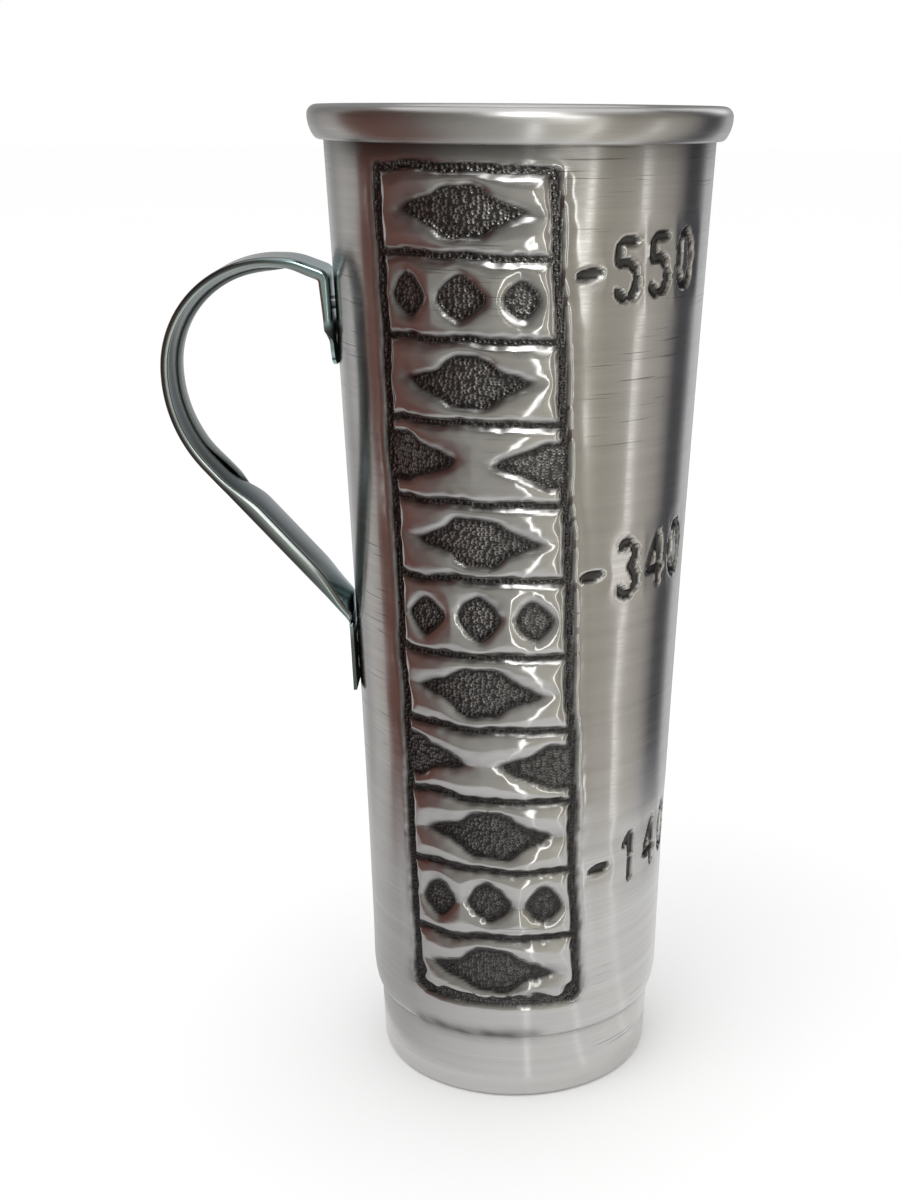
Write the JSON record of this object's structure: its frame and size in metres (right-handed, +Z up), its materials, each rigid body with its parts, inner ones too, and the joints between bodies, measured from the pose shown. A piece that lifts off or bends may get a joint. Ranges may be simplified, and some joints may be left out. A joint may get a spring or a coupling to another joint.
{
  "type": "drinking tumbler with handle",
  "caption": "Tall tapered metal tumbler with a rolled rim, a stacking step above its foot and a riveted bent-strap handle, for drinks.",
  "frame": {"origin": "centre of the flat base, on the cup's axis, where it rests", "axes": "+Z up along the cup's axis, handle towards -X, relief panel facing -Y"},
  "size_m": [0.1118, 0.082, 0.2],
  "materials": {
    "shell_aluminium": "brushed round the axis, worn",
    "plated_strap": "zinc plated, semi-bright",
    "rivet_aluminium": "satin"
  },
  "bodies": {
    "root": {"cup_shell": "shell_aluminium", "handle": "plated_strap", "rivet_upper_low": "rivet_aluminium", "rivet_upper_high": "rivet_aluminium", "rivet_lower_low": "rivet_aluminium", "rivet_lower_high": "rivet_aluminium"}
  },
  "joints": []
}
